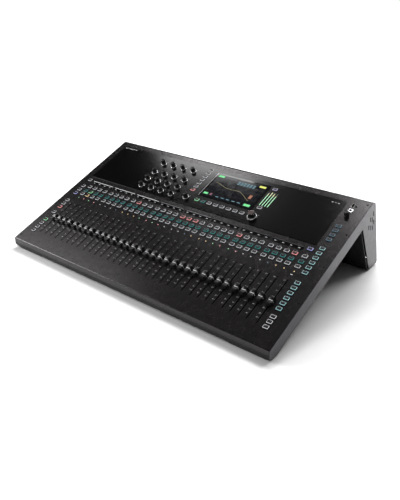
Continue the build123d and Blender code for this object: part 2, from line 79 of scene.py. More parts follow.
def axes(across, up, out, origin):
    """The matrix that places millimetres along three directions in the frame."""
    turn = Matrix((across, up, out)).transposed().to_4x4()
    return Matrix.Translation(origin) @ turn @ Matrix.Scale(MM, 4)


PANEL = axes(ACROSS, UP, OUT, panel_origin())
TO_PANEL = PANEL.inverted()


# ---- places, read from the CAD nodes ----
def limits(points):
    low = Vector([min(point[axis] for point in points) for axis in range(3)])
    high = Vector([max(point[axis] for point in points) for axis in range(3)])
    return low, high


def panel_box(node):
    """Lowest and highest corners of a CAD node in panel millimetres."""
    return limits([TO_PANEL @ vertex.co for vertex in frame["nodes"][node].data.vertices])


def solids(node):
    """Lowest and highest corners of each separate solid in a CAD node, from left to right."""
    mesh = bmesh.new()
    mesh.from_mesh(frame["nodes"][node].data)
    bmesh.ops.remove_doubles(mesh, verts=mesh.verts, dist=WELD)
    unseen = set(mesh.verts)
    boxes = []
    while unseen:
        group = [unseen.pop()]
        for vertex in group:
            for edge in vertex.link_edges:
                other = edge.other_vert(vertex)
                if other in unseen:
                    unseen.remove(other)
                    group.append(other)
        boxes.append(limits([TO_PANEL @ vertex.co for vertex in group]))
    mesh.free()
    return sorted(boxes, key=lambda box: (round(box[0].x), round(box[0].y), round(box[0].z)))


def middle(box):
    return (box[0] + box[1]) / 2


REAR_V = panel_box("rear_panel")[1].y
REAR = axes(-ACROSS, OUT, UP, PANEL @ Vector((0, REAR_V, 0)))


# ---- drawing ----
class Draft:
    """Faces gathered in millimetres, each with the number of its finish."""

    def __init__(self):
        self.points = []
        self.faces = []
        self.finishes = []

    def face(self, corners, finish=0):
        start = len(self.points)
        self.points.extend(corners)
        self.faces.append(tuple(range(start, start + len(corners))))
        self.finishes.append(finish)

    def loft(self, rings, finish=0, closed=True):
        """A skin over rings of equal count, closed at both ends unless told otherwise."""
        start = len(self.points)
        count = len(rings[0])
        for ring in rings:
            self.points.extend(ring)
        made = []
        for level in range(len(rings) - 1):
            low = start + level * count
            for here in range(count):
                following = (here + 1) % count
                made.append((low + here, low + following, low + count + following, low + count + here))
        if closed:
            last = start + (len(rings) - 1) * count
            made.append(tuple(reversed(range(start, start + count))))
            made.append(tuple(range(last, last + count)))
        self.faces.extend(made)
        self.finishes.extend([finish] * len(made))

    def piece(self, name, place, finishes, smooth=True):
        """The finished object in the frame, in metres."""
        mesh = bpy.data.meshes.new(name)
        mesh.from_pydata([place @ Vector(point) for point in self.points], [], self.faces)
        for finish in finishes:
            mesh.materials.append(finish)
        mesh.polygons.foreach_set("material_index", self.finishes)
        if smooth:
            mesh.shade_smooth()
            mesh.set_sharp_from_angle(angle=SMOOTH_BELOW)
        mesh.update()
        made = bpy.data.objects.new(name, mesh)
        bpy.context.scene.collection.objects.link(made)
        return made


def rounded(x, y, width, length, radius, height):
    """A rounded rectangle at one height, anticlockwise."""
    ring = []
    for quarter in range(4):
        middle_angle = quarter * pi / 2 + pi / 4
        side_x = 1 if cos(middle_angle) > 0 else -1
        side_y = 1 if sin(middle_angle) > 0 else -1
        centre_x = x + side_x * (width / 2 - radius)
        centre_y = y + side_y * (length / 2 - radius)
        for step in range(CORNER_STEPS + 1):
            angle = (quarter + step / CORNER_STEPS) * pi / 2
            ring.append((centre_x + radius * cos(angle), centre_y + radius * sin(angle), height))
    return ring


def circle(x, y, radius, height, count=32, flutes=0, depth=0.0):
    """A circle at one height, its edge drawn in by any flutes."""
    ring = []
    for step in range(count):
        angle = 2 * pi * step / count
        reach = radius - depth * (0.5 - 0.5 * cos(flutes * angle))
        ring.append((x + reach * cos(angle), y + reach * sin(angle), height))
    return ring


def slab(draft, x, y, width, length, radius, low, high, edge, finish=0):
    """A rounded block with eased upper edges."""
    eased = 2 * EASED * edge
    corner = max(radius - edge, CORNER_LEAST)
    rings = [rounded(x, y, width, length, radius, low),
             rounded(x, y, width, length, radius, high - edge),
             rounded(x, y, width - eased, length - eased, radius, high - EASED * edge),
             rounded(x, y, width - 2 * edge, length - 2 * edge, corner, high)]
    draft.loft(rings, finish)


def stroke(draft, start, end, width, height, finish=0):
    """A thin flat line between two points of a plane."""
    along = Vector(end) - Vector(start)
    aside = Vector((-along.y, along.x)).normalized() * (width / 2)
    corners = [Vector(start) - aside, Vector(end) - aside, Vector(end) + aside, Vector(start) + aside]
    draft.face([(corner.x, corner.y, height) for corner in corners], finish)


# Plain numbers, drawn with the seven strokes of a numeric display.
STROKES = {"a": ((0, 2), (1, 2)), "b": ((1, 2), (1, 1)), "c": ((1, 1), (1, 0)), "d": ((0, 0), (1, 0)),
           "e": ((0, 1), (0, 0)), "f": ((0, 2), (0, 1)), "g": ((0, 1), (1, 1))}
NUMERALS = {"0": "abcdef", "1": "bc", "2": "abged", "3": "abgcd", "4": "fgbc", "5": "afgcd",
            "6": "afgedc", "7": "abc", "8": "abcdefg", "9": "gfabcd"}
# Shares of a figure's height, but the last is a share of the pitch.
FIGURE_PITCH = 0.75
FIGURE_WIDTH = 0.45
FIGURE_STROKE = 0.13
FIGURE_GAP = 0.4


def number(draft, text, x, y, size, height):
    """A number centred on a point, size being the height of its figures."""
    step = size * FIGURE_PITCH
    left = x - step * (len(text) - FIGURE_GAP) / 2
    for place, figure in enumerate(text):
        corner = left + place * step
        for mark in NUMERALS[figure]:
            ends = [(corner + a * size * FIGURE_WIDTH, y + (b / 2 - 0.5) * size) for a, b in STROKES[mark]]
            stroke(draft, *ends, size * FIGURE_STROKE, height)


# ---- finishes ----
# The middle part of a noise texture's range, which is spread over the whole change it drives.
NOISE_RANGE = (0.3, 0.7)
BUMP_STRENGTH = 0.5
SCRATCH_STRETCH = (1, 40, 40)


def noise(tree, coordinates, size_mm, detail=2.0):
    node = tree.nodes.new("ShaderNodeTexNoise")
    node.inputs["Scale"].default_value = 1000 / size_mm
    node.inputs["Detail"].default_value = detail
    tree.links.new(coordinates, node.inputs["Vector"])
    return node.outputs["Fac"]


def remap(tree, value, low, high):
    node = tree.nodes.new("ShaderNodeMapRange")
    node.inputs["From Min"].default_value = NOISE_RANGE[0]
    node.inputs["From Max"].default_value = NOISE_RANGE[1]
    node.inputs["To Min"].default_value = low
    node.inputs["To Max"].default_value = high
    tree.links.new(value, node.inputs["Value"])
    return node.outputs["Result"]


def blend_colours(tree, value, first, second):
    node = tree.nodes.new("ShaderNodeValToRGB")
    node.color_ramp.elements[0].position = NOISE_RANGE[0]
    node.color_ramp.elements[1].position = NOISE_RANGE[1]
    node.color_ramp.elements[0].color = (*first, 1)
    node.color_ramp.elements[1].color = (*second, 1)
    tree.links.new(value, node.inputs["Fac"])
    return node.outputs["Color"]


def finish(name, colour, roughness, metallic=0.0, grain=0.5, depth=0.02, mottle=0.12, mottle_size=30.0,
           gloss_change=0.04, specular=0.5, tint=(1.0, 1.0, 1.0)):
    """A surface with a fine grain, a slow change of shade and a slow change of gloss."""
    made = bpy.data.materials.new(name)
    made.use_nodes = True
    tree = made.node_tree
    shader = tree.nodes["Principled BSDF"]
    coordinates = tree.nodes.new("ShaderNodeTexCoord").outputs["Object"]
    darker = [channel * (1 - mottle) for channel in colour]
    lighter = [channel * (1 + mottle) for channel in colour]
    shade = blend_colours(tree, noise(tree, coordinates, mottle_size, 4.0), darker, lighter)
    tree.links.new(shade, shader.inputs["Base Color"])
    patches = noise(tree, coordinates, mottle_size * 0.4)
    gloss = remap(tree, patches, roughness - gloss_change, roughness + gloss_change)
    tree.links.new(gloss, shader.inputs["Roughness"])
    shader.inputs["Metallic"].default_value = metallic
    shader.inputs["Specular IOR Level"].default_value = specular
    shader.inputs["Specular Tint"].default_value = (*tint, 1)
    bump = tree.nodes.new("ShaderNodeBump")
    bump.inputs["Strength"].default_value = BUMP_STRENGTH
    bump.inputs["Distance"].default_value = depth * MM
    tree.links.new(noise(tree, coordinates, grain, 3.0), bump.inputs["Height"])
    tree.links.new(bump.outputs["Normal"], shader.inputs["Normal"])
    return made


def glow(name, colour, strength, body=(0.5, 0.5, 0.5), roughness=0.4, specular=0.5):
    """A lit translucent plastic, a little uneven where the lamp behind it is."""
    made = finish(name, body, roughness, grain=0.8, depth=0.01, specular=specular)
    tree = made.node_tree
    shader = tree.nodes["Principled BSDF"]
    coordinates = tree.nodes.new("ShaderNodeTexCoord").outputs["Object"]
    dimmer = [channel * 0.8 for channel in colour]
    light = blend_colours(tree, noise(tree, coordinates, 3.0), dimmer, colour)
    tree.links.new(light, shader.inputs["Emission Color"])
    shader.inputs["Emission Strength"].default_value = strength
    return made


def brushed(name, colour, roughness):
    """Metal with fine parallel scratches."""
    made = finish(name, colour, roughness, metallic=1.0, grain=0.6, depth=0.006, mottle=0.08)
    tree = made.node_tree
    coordinates = tree.nodes.new("ShaderNodeTexCoord").outputs["Object"]
    mapping = tree.nodes.new("ShaderNodeMapping")
    mapping.inputs["Scale"].default_value = SCRATCH_STRETCH
    tree.links.new(coordinates, mapping.inputs["Vector"])
    scratches = noise(tree, mapping.outputs["Vector"], 20.0, 4.0)
    streaks = remap(tree, scratches, roughness * 0.7, roughness * 1.4)
    tree.links.new(streaks, tree.nodes["Principled BSDF"].inputs["Roughness"])
    return made


PANEL_PAINT = finish("panel_paint", (0.0075, 0.0068, 0.0072), 0.25, grain=0.45, depth=0.03, mottle=0.1,
                     tint=(1.0, 0.95, 0.97))
CHEEK_PAINT = finish("cheek_paint", (0.022, 0.02, 0.024), 0.32, grain=0.45, depth=0.03, mottle=0.1,
                     specular=0.6, tint=(0.98, 0.94, 1.0))
CHASSIS_PAINT = finish("chassis_paint", (0.006, 0.006, 0.0065), 0.45, grain=0.6, depth=0.05)
FASCIA = finish("fascia", (0.0022, 0.0021, 0.0022), 0.16, grain=2.5, depth=0.004, mottle=0.05,
                gloss_change=0.015, specular=0.4, tint=(1.0, 0.97, 0.98))
SCREEN_GLASS = finish("screen_glass", (0.002, 0.002, 0.0025), 0.06, grain=6.0, depth=0.001,
                      gloss_change=0.01)
DISPLAY_LENS = finish("display_lens", (0.001, 0.001, 0.0012), 0.12, grain=3.0, depth=0.002,
                      gloss_change=0.02)
DARK_PLASTIC = finish("dark_plastic", (0.008, 0.008, 0.008), 0.42, grain=0.3, depth=0.02)
KNOB_PLASTIC = finish("knob_plastic", (0.003, 0.003, 0.003), 0.34, grain=0.25, depth=0.012, specular=0.3)
FADER_PLASTIC = finish("fader_cap", (0.009, 0.0085, 0.0088), 0.3, grain=0.3, depth=0.012)
KEY_PLASTIC = finish("key_cap", (0.005, 0.005, 0.0055), 0.34, grain=0.3, depth=0.01, specular=0.35)
CHROME = brushed("chrome_trim", (0.78, 0.78, 0.8), 0.16)
SOCKET_METAL = brushed("socket_metal", (0.32, 0.32, 0.34), 0.3)
ZINC = brushed("zinc_steel", (0.5, 0.5, 0.48), 0.35)
GOLD = brushed("gold_contact", (0.85, 0.6, 0.22), 0.22)
CIRCUIT_BOARD = finish("circuit_board", (0.01, 0.06, 0.025), 0.4, grain=1.2, depth=0.03, mottle=0.3,
                       mottle_size=4)
FOOT_RUBBER = finish("foot_rubber", (0.012, 0.012, 0.012), 0.75, grain=0.8, depth=0.12)
BLACK_SCREW = finish("black_screw", (0.003, 0.003, 0.003), 0.55, grain=0.3, depth=0.01, specular=0.15)
WHITE_PRINT = finish("white_print", (0.42, 0.42, 0.43), 0.5, grain=0.3, depth=0.01)
CAP_LINE = finish("cap_line", (0.8, 0.8, 0.82), 0.45, grain=0.3, depth=0.01)
GREY_PRINT = finish("grey_print", (0.2, 0.2, 0.21), 0.5, grain=0.3, depth=0.01)

WHITE_LIGHT = glow("white_light", (0.9, 0.92, 1.0), 0.6)
RED_LIGHT = glow("red_light", (1.0, 0.22, 0.22), 1.3)
TEAL_LIGHT = glow("teal_light", (0.04, 0.42, 0.4), 0.6, body=(0.05, 0.2, 0.2))
CYAN_LIGHT = glow("cyan_light", (0.3, 0.8, 0.85), 0.75)
GREEN_LIGHT = glow("green_light", (0.15, 0.85, 0.3), 1.1)
BLUE_LIGHT = glow("blue_light", (0.25, 0.28, 0.9), 1.0)
DIM_BLUE_LIGHT = glow("dim_blue_light", (0.16, 0.32, 0.42), 0.7, body=(0.1, 0.15, 0.2))
PURPLE_LIGHT = glow("purple_light", (0.5, 0.4, 0.8), 0.9)
AMBER_LIGHT = glow("amber_light", (1.0, 0.62, 0.16), 1.2)
YELLOW_LIGHT = glow("yellow_light", (0.8, 0.85, 0.1), 0.8)
RING_LIGHT = glow("ring_light", (0.9, 0.92, 1.0), 0.15)
KNOB_LAMP = glow("knob_lamp", (0.5, 0.2, 0.12), 0.03, body=(0.02, 0.008, 0.006))
LIGHTS = {"white": WHITE_LIGHT, "red": RED_LIGHT, "teal": TEAL_LIGHT, "cyan": CYAN_LIGHT,
          "green": GREEN_LIGHT, "blue": BLUE_LIGHT, "dim": DIM_BLUE_LIGHT, "purple": PURPLE_LIGHT,
          "amber": AMBER_LIGHT, "yellow": YELLOW_LIGHT}

NODE_FINISHES = {
    PANEL_PAINT: ("top_panel", "rear_panel"),
    CHEEK_PAINT: ("left_cheek", "right_cheek"),
    CHASSIS_PAINT: ("base_tray", "connector_housing", "fader_tracks"),
    FASCIA: ("control_fascia",),
    SCREEN_GLASS: ("touchscreen_glass",),
    DISPLAY_LENS: ("channel_displays",),
    DARK_PLASTIC: ("display_module", "line_jacks", "mains_inlet", "power_rocker"),
    CHROME: ("headphone_sockets",),
    SOCKET_METAL: ("mic_sockets", "output_sockets"),
    ZINC: ("encoder_bodies", "power_supply", "data_ports"),
    CIRCUIT_BOARD: ("control_board", "circuit_boards"),
    FOOT_RUBBER: ("rubber_feet",),
    BLACK_SCREW: ("panel_screws",),
}


def paint_cad_nodes():
    for material, names in NODE_FINISHES.items():
        for name in names:
            mesh = frame["nodes"][name].data
            mesh.materials.clear()
            mesh.materials.append(material)
            mesh.shade_smooth()
            mesh.set_sharp_from_angle(angle=SMOOTH_BELOW)


def darken_hollows(node, smallest=0.0):
    """Black on the faces that look inwards, partly the sockets' black plastic and partly painted shade in
    the hollows, and black plastic all over any solid narrower than smallest.
    """
    mesh = frame["nodes"][node].data
    mesh.materials.append(DARK_PLASTIC)
    boxes = solids(node)
    turn = TO_PANEL.to_3x3()
    for polygon in mesh.polygons:
        at = TO_PANEL @ polygon.center
        box = min(boxes, key=lambda each: (middle(each) - at).length)
        # faces that look inwards are painted dark: partly the black plastic inside the sockets, partly
        # painted shade in the hollows
        inwards = (turn @ polygon.normal).dot(middle(box) - at) > 0
        if inwards or box[1].x - box[0].x < smallest:
            polygon.material_index = 1


# ---- keys ----
KEY_CORNER = 1.1
KEY_CORNER_LEAST = 0.3
KEY_FOOT = -1.2              # the skirt's lower edge, below the panel
KEY_LEDGE = 0.85             # how far the lit band reaches in from the key's edge
KEY_SKIRT = 1.05             # how far below the cap's top the dark skirt ends
# Each place is an inset from the key's edge and a depth below the cap's top.
KEY_BAND = ((0, KEY_SKIRT), (0.12, 0.75), (KEY_LEDGE, 0.6))
KEY_CAP = ((KEY_LEDGE, 0.7), (KEY_LEDGE, 0.3), (KEY_LEDGE + 0.1, 0.1), (KEY_LEDGE + 0.35, 0.0),
           (2.2, 0.1), (3.2, 0.16))
KEY_MARK = (3.4, 0.5, 0.2)   # the printed bar's width, length and corner radius
KEY_MARK_OFFSET = 1.2
KEY_MARK_DEPTHS = (0.25, 0.04)
KEY_MARK_EDGE = 0.05


def key(draft, box, light):
    """A dark cap and skirt with a lit line round the cap between them."""
    centre = middle(box)
    width = box[1].x - box[0].x
    length = box[1].y - box[0].y
    top = box[1].z

    def level(inset, height):
        corner = max(KEY_CORNER - inset, KEY_CORNER_LEAST)
        return rounded(centre.x, centre.y, width - 2 * inset, length - 2 * inset, corner, height)

    draft.loft([level(0, KEY_FOOT), level(0, top - KEY_SKIRT)])
    draft.loft([level(inset, top - depth) for inset, depth in KEY_BAND], light, closed=False)
    draft.loft([level(inset, top - depth) for inset, depth in KEY_CAP])
    low, high = [top - depth for depth in KEY_MARK_DEPTHS]
    slab(draft, centre.x, centre.y + KEY_MARK_OFFSET, *KEY_MARK, low, high, KEY_MARK_EDGE, 1)


def key_group(node, name, state):
    """All the keys of one CAD node, each lit in the colour that its state gives."""
    draft = Draft()
    names = sorted(LIGHTS)
    for index, box in enumerate(solids(node)):
        key(draft, box, 2 + names.index(state(index)))
    piece = draft.piece(name, PANEL, [KEY_PLASTIC, GREY_PRINT] + [LIGHTS[light] for light in names])
    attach(piece, node)
    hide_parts(node)


MUTED = (10, 17, 18, 19, 25, 32)
SELECTED = 2
FUNCTION_COLOURS = {3: "green", 5: "red", 8: "blue"}
SCREEN_COLOURS = {0: "red", 7: "green", 8: "teal", 16: "purple"}
LAST_WHITE_KEY = 3
LAST_CYAN_KEY = 15


def mute_state(index):
    return "red" if index + 1 in MUTED else "white"


def select_state(index):
    return "green" if index + 1 == SELECTED else "teal"


def listen_state(index):
    return "amber" if index + 1 == SELECTED else "white"


def function_state(index):
    return FUNCTION_COLOURS.get(index, "white")


def soft_state(index):
    """The lone key over the master strip, then the column at the right from front to back."""
    if index == 0:
        return "blue"
    if index <= LAST_WHITE_KEY:
        return "white"
    return "cyan" if index <= LAST_CYAN_KEY else "dim"


def screen_state(index):
    """The column at the left of the screen, the row before it and two keys at its right."""
    return SCREEN_COLOURS.get(index, "white")


# ---- faders ----
FADER_BASE = 1.2             # the caps' underside above the panel
CAP_BEVEL = 0.5
CAP_LEAN = 0.05
SCOOP_STEPS = 30
SCOOP_RIBS = 6
SCOOP_DROP = 2.8
SCOOP_START = 1.5
SCOOP_MARGIN = 4.0
SCOOP_CURVE = 1.6
RIB_HEIGHT = 0.17
RIDGE_DROP = 1.5             # the centre ridge's top below the cap's ends
RIDGE = ((0.6, RIDGE_DROP), (1.1, 1.9))
LINE_WIDTH = 1.2
TONGUE = (1.2, 5.0, 0.1)     # the tongue's width, length and corner radius


def cap_side(half, base, top):
    """The cap's side outline: a centre ridge between two ribbed finger scoops."""
    points = [(v, top - drop) for v, drop in RIDGE]
    reach = half - SCOOP_MARGIN - SCOOP_START
    for step in range(SCOOP_STEPS + 1):
        share = step / SCOOP_STEPS
        rib = RIB_HEIGHT * (0.5 - 0.5 * cos(2 * pi * SCOOP_RIBS * share))
        sunk = SCOOP_DROP * (1 - share) ** SCOOP_CURVE
        points.append((SCOOP_START + share * reach, top - sunk + rib * (1 - share)))
    points += [(half - 1.9, top), (half - 1.4, top - 0.2), (half - 1.15, top - 0.7),
               (half - 0.1, base + 0.8), (half, base)]
    return list(reversed(points)) + [(-v, n) for v, n in points]


def cap_line(draft, centre, half_width, base, ridge):
    """The line over the ridge and down both sides of the cap."""
    lean = (ridge - base) * CAP_LEAN
    width = 2 * (half_width - lean) - 0.6
    slab(draft, centre.x, centre.y, width, LINE_WIDTH, 0.2, ridge - 0.4, ridge + 0.1, 0.05, 1)
    back = centre.y - LINE_WIDTH / 2
    front = centre.y + LINE_WIDTH / 2
    for side in (-1, 1):
        low_x = centre.x + side * (half_width + 0.01)
        high_x = centre.x + side * (half_width + 0.03 - lean)
        draft.face([(low_x, back, base + 0.3), (low_x, front, base + 0.3),
                    (high_x, front, ridge - 0.4), (high_x, back, ridge - 0.4)], 1)


def fader_cap(draft, box):
    centre = middle(box)
    base, top = FADER_BASE, box[1].z
    half_width = (box[1].x - box[0].x) / 2
    half_length = (box[1].y - box[0].y) / 2
    outline = cap_side(half_length, base, top)
    rings = []
    for side, inset in ((-1, 0), (-1, CAP_BEVEL), (1, CAP_BEVEL), (1, 0)):
        shrink = 1 if inset else 1 - CAP_BEVEL / half_length
        ring = []
        for v, n in outline:
            reach = half_width - inset - (n - base) * CAP_LEAN
            ring.append((centre.x + side * reach, centre.y + v * shrink, base + (n - base) * shrink))
        rings.append(ring)
    draft.loft(rings)
    draft.loft([rounded(centre.x, centre.y, *TONGUE, height) for height in (box[0].z, base + 1)], 2)
    cap_line(draft, centre, half_width, base, top - RIDGE_DROP)


def fader_group(node, name):
    draft = Draft()
    for box in solids(node):
        fader_cap(draft, box)
    piece = draft.piece(name, PANEL, [FADER_PLASTIC, CAP_LINE, ZINC])
    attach(piece, node)
    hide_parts(node)


def make_faders():
    banks = sorted(name for name in frame["nodes"] if name.startswith("fader_bank_"))
    for node in banks:
        fader_group(node, node.replace("bank", "caps"))
    fader_group("master_fader", "master_fader_cap")


# ---- knobs ----
ENCODER_BASE = 2.0           # a grip's underside above the panel
KNOB_BASE = {"level_knob": 0.6}
ENCODER_FLUTES = 18
MAIN_FLUTES = 28
LEVEL_FLUTES = 16
FLUTE_DEPTH = 0.07           # as a share of the radius
FLUTE_STEPS = 6
RING_STEPS = 48
RING_BORE = 0.84             # the collar's inner radius as a share of its outer one


def fluted_knob(draft, centre, radius, base, top, flutes):
    """A turned knob with a plain foot, fluted sides and a slightly hollow top."""
    depth = FLUTE_DEPTH * radius
    levels = [(radius - 0.5, base, 0), (radius, base + 0.3, 0), (radius, base + 1.6, 0),
              (radius - 0.2, base + 2.0, depth), (radius - 0.5, top - 1.2, depth),
              (radius - 0.8, top - 0.5, depth * 0.6), (radius - 1.3, top - 0.1, 0),
              (radius - 1.8, top, 0), (radius - 2.4, top - 0.15, 0), (0.5, top - 0.3, 0)]
    count = flutes * FLUTE_STEPS
    rings = [circle(centre.x, centre.y, reach, height, count, flutes, cut) for reach, height, cut in levels]
    draft.loft(rings)


def turned(draft, centre, profile, finish, closed=False):
    """A fine ring or disc from a profile of radii and heights."""
    rings = [circle(centre.x, centre.y, reach, height, RING_STEPS) for reach, height in profile]
    draft.loft(rings, finish, closed)


def knob_piece(node, name, flutes, decorate=None):
    box = panel_box(node)
    centre = middle(box)
    radius = (box[1].x - box[0].x) / 2
    draft = Draft()
    fluted_knob(draft, centre, radius, KNOB_BASE.get(node, ENCODER_BASE), box[1].z, flutes)
    if decorate:
        decorate(draft, centre, radius, box[1].z)
    piece = draft.piece(name, PANEL, [KNOB_PLASTIC, WHITE_PRINT, KNOB_LAMP, CHROME])
    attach(piece, node)
    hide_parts(node)


def lit_top(draft, centre, radius, top):
    """A warm lit disc inside a fine metal ring."""
    disc = [(radius - 2.6, top - 0.3), (radius - 2.6, top - 0.02), (radius - 3.0, top), (0.4, top - 0.02)]
    turned(draft, centre, disc, 2, closed=True)
    rim = [(radius - 2.5, top - 0.3), (radius - 2.1, top - 0.3), (radius - 2.15, top - 0.02),
           (radius - 2.45, top - 0.02), (radius - 2.5, top - 0.3)]
    turned(draft, centre, rim, 3)


def pointer(draft, centre, radius, top):
    """A white line on top, towards the back at rest."""
    slab(draft, centre.x, centre.y + radius - 2.6, 0.8, 2.2, 0.2, top - 0.3, top, 0.05, 1)


def make_knobs():
    for node in sorted(name for name in frame["nodes"] if name.startswith("encoder_knob_")):
        knob_piece(node, node.replace("knob", "grip"), ENCODER_FLUTES)
    knob_piece("main_knob", "main_knob_grip", MAIN_FLUTES, lit_top)
    knob_piece("level_knob", "level_knob_grip", LEVEL_FLUTES, pointer)


def make_rings():
    """The bright collar round every encoder: a lit inner band and a metal rim."""
    draft = Draft()
    for box in solids("encoder_rings"):
        centre = middle(box)
        outer = (box[1].x - box[0].x) / 2
        inner = outer * RING_BORE
        waist = (outer + inner) / 2
        base, top = box[0].z, box[1].z
        rim = [(waist, base), (outer, base), (outer - 0.15, base + 0.5 * (top - base)),
               (outer - 0.6, top - 0.06), (waist + 0.15, top), (waist, top - 0.2), (waist, base)]
        turned(draft, centre, rim, 0)
        band = [(inner, base), (waist - 0.02, base), (waist - 0.02, top - 0.1),
                (waist - 0.2, top - 0.02), (inner + 0.15, top - 0.15), (inner, top - 0.3), (inner, base)]
        turned(draft, centre, band, 1)
    piece = draft.piece("encoder_light_rings", PANEL, [CHROME, RING_LIGHT])
    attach(piece, "case")
    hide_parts("encoder_rings")


# ---- signal lights and meters ----
METER_SEGMENTS = 16
METER_GAP = 0.35
METER_LINE = 1.5             # the width of a bar's lit core
METER_LIT = (14, 16, 15, 13)
METER_YELLOW_FROM = 12
METER_FOOT = -1.0            # where the bars begin, below the panel
METER_CORNER = 0.3
LONGEST_DOT = 5.0            # a light longer than this is a meter bar
DOT_COLOURS = ("amber", "white", "red", "green", "amber", "white", "green", "amber", "dim", "white", "red")
DOT_DOME = ((1.1, -2.0), (1.1, 0.02), (1.0, 0.16), (0.6, 0.27), (0.1, 0.3))
DOT_STEPS = 16


def signal_dot(draft, box, light):
    centre = middle(box)
    draft.loft([circle(centre.x, centre.y, reach, height, DOT_STEPS) for reach, height in DOT_DOME], light)


def meter_bar(draft, box, lit, names):
    """A dark bar with a row of lit segments along its middle."""
    dark = len(names)
    centre = middle(box)
    top = box[1].z
    length = box[1].y - box[0].y
    pitch = length / METER_SEGMENTS
    lit_length = pitch - METER_GAP
    for segment in range(METER_SEGMENTS):
        light = "yellow" if segment >= METER_YELLOW_FROM else "green"
        paint = names.index(light) if segment < lit else dark
        v = box[0].y + (segment + 0.5) * pitch
        slab(draft, centre.x, v, METER_LINE, lit_length, METER_CORNER, METER_FOOT, top, 0.1, paint)
    width = box[1].x - box[0].x
    slab(draft, centre.x, centre.y, width, length, METER_CORNER, METER_FOOT, top - 0.1, 0.05, dark)


def make_signal_lights():
    """A domed light over each fader slot, and the segments of the meter bars."""
    draft = Draft()
    boxes = solids("light_pipes")
    dots = [box for box in boxes if box[1].y - box[0].y < LONGEST_DOT]
    bars = [box for box in boxes if box[1].y - box[0].y > LONGEST_DOT]
    names = sorted(LIGHTS)
    for index, box in enumerate(dots):
        signal_dot(draft, box, names.index(DOT_COLOURS[(index * 7 + 3) % len(DOT_COLOURS)]))
    for box, lit in zip(bars, METER_LIT):
        meter_bar(draft, box, lit, names)
    piece = draft.piece("signal_lights", PANEL, [LIGHTS[light] for light in names] + [DARK_PLASTIC])
    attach(piece, "case")
    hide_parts("light_pipes")


# ---- displays ----
PRINT_LIFT = 0.03            # how far printing and pictures stand off their surface
PAINTED_HIGHLIGHT_BANKS = 3             # the line along the back carries a bright painted highlight on this many displays from the left
# up to this many displays from the left the back line carries a fainter painted highlight; further right it
# is only dim
PAINTED_HALF_HIGHLIGHT_BANKS = 5
CHANNEL_MARK_V = 4.0         # from a display's front edge
CHANNEL_LINE_V = 1.8


def make_display_marks():
    """What the channel displays show: a line along the back, glowing brightly on the left displays and
    fading to the right as a painted highlight, and a mark for each channel.
    """
    draft = Draft()
    boxes = solids("channel_displays")
    strips = [middle(box).x for box in solids("mute_keys")]
    for bank, box in enumerate(boxes):
        top = box[1].z + PRINT_LIFT
        # the back line's glow steps down from left to right as a painted highlight: bright, then fainter,
        # then dim
        highlight_step = 0 if bank < PAINTED_HIGHLIGHT_BANKS else 1 if bank < PAINTED_HALF_HIGHLIGHT_BANKS else 2
        back = box[1].y - 0.7
        stroke(draft, (box[0].x + 1.0, back), (box[1].x - 1.0, back), 1.1, top, highlight_step)
        for x in strips:
            if not box[0].x < x < box[1].x:
                continue
            mark = box[0].y + CHANNEL_MARK_V
            stroke(draft, (x - 2.5, mark), (x + 2.5, mark), 1.0, top, 3)
            line = box[0].y + CHANNEL_LINE_V
            stroke(draft, (x - 5.5, line), (x + 1.0, line), 0.5, top, 2)
    # the first two finishes are the painted highlight on the back line, the third is the dim line, the last
    # the channel marks
    finishes = [glow("strip_painted_highlight", (0.95, 0.96, 1.0), 0.62),
                glow("strip_painted_half_highlight", (0.9, 0.92, 1.0), 0.14, (0.12, 0.12, 0.13)),
                glow("strip_dim", (0.8, 0.84, 1.0), 0.02, (0.02, 0.02, 0.022)),
                glow("strip_mark", (0.9, 0.95, 1.0), 0.5)]
    piece = draft.piece("display_marks", PANEL, finishes, smooth=False)
    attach(piece, "case")


# The picture is placed in shares of the screen's width and length.
# A tile is its left, front, right and back edges and its paint.
GROUND = (0.045, 0.05, 0.955, 0.95)
SCREEN_TILES = ((0.06, 0.86, 0.17, 0.93, "green"), (0.2, 0.87, 0.4, 0.9, "grid"),
                (0.83, 0.85, 0.94, 0.92, "yellow"), (0.06, 0.12, 0.14, 0.19, "green"),
                (0.82, 0.08, 0.93, 0.16, "green"), (0.8, 0.36, 0.85, 0.5, "orange"),
                (0.18, 0.12, 0.215, 0.2, "pink"))
CURVE_STEPS = 40
# name, glow, strength, body, and roughness and specular where they aren't the usual ones
SCREEN_PAINTS = (
    ("ground", (0.03, 0.034, 0.045), 0.1, (0.002, 0.002, 0.003), 0.1, 0.2),
    ("grid", (0.12, 0.14, 0.16), 0.4, (0.01, 0.01, 0.01), 0.1, 0.2),
    ("curve", (0.75, 0.68, 0.3), 0.45, (0.05, 0.05, 0.02)),
    ("green", (0.16, 0.85, 0.3), 0.9, (0.02, 0.08, 0.03)),
    ("yellow", (0.8, 0.85, 0.12), 0.95, (0.08, 0.08, 0.02)),
    ("edge", (0.9, 0.9, 0.95), 0.45, (0.2, 0.2, 0.2)),
    ("teal", (0.14, 0.4, 0.5), 0.55, (0.02, 0.04, 0.05)),
    ("orange", (0.75, 0.25, 0.1), 0.4, (0.05, 0.02, 0.01)),
    ("pink", (0.5, 0.16, 0.28), 0.4, (0.05, 0.02, 0.02)),
)
SCREEN_NAMES = [paint[0] for paint in SCREEN_PAINTS]


def response_curve():
    """A generic equaliser response that falls to the right."""
    curve = []
    for step in range(CURVE_STEPS + 1):
        share = step / CURVE_STEPS
        height = 0.58 + 0.05 * sin(share * 4.2) - 0.2 * share + 0.05 * cos(share * 9)
        curve.append((0.11 + 0.72 * share, height))
    return curve


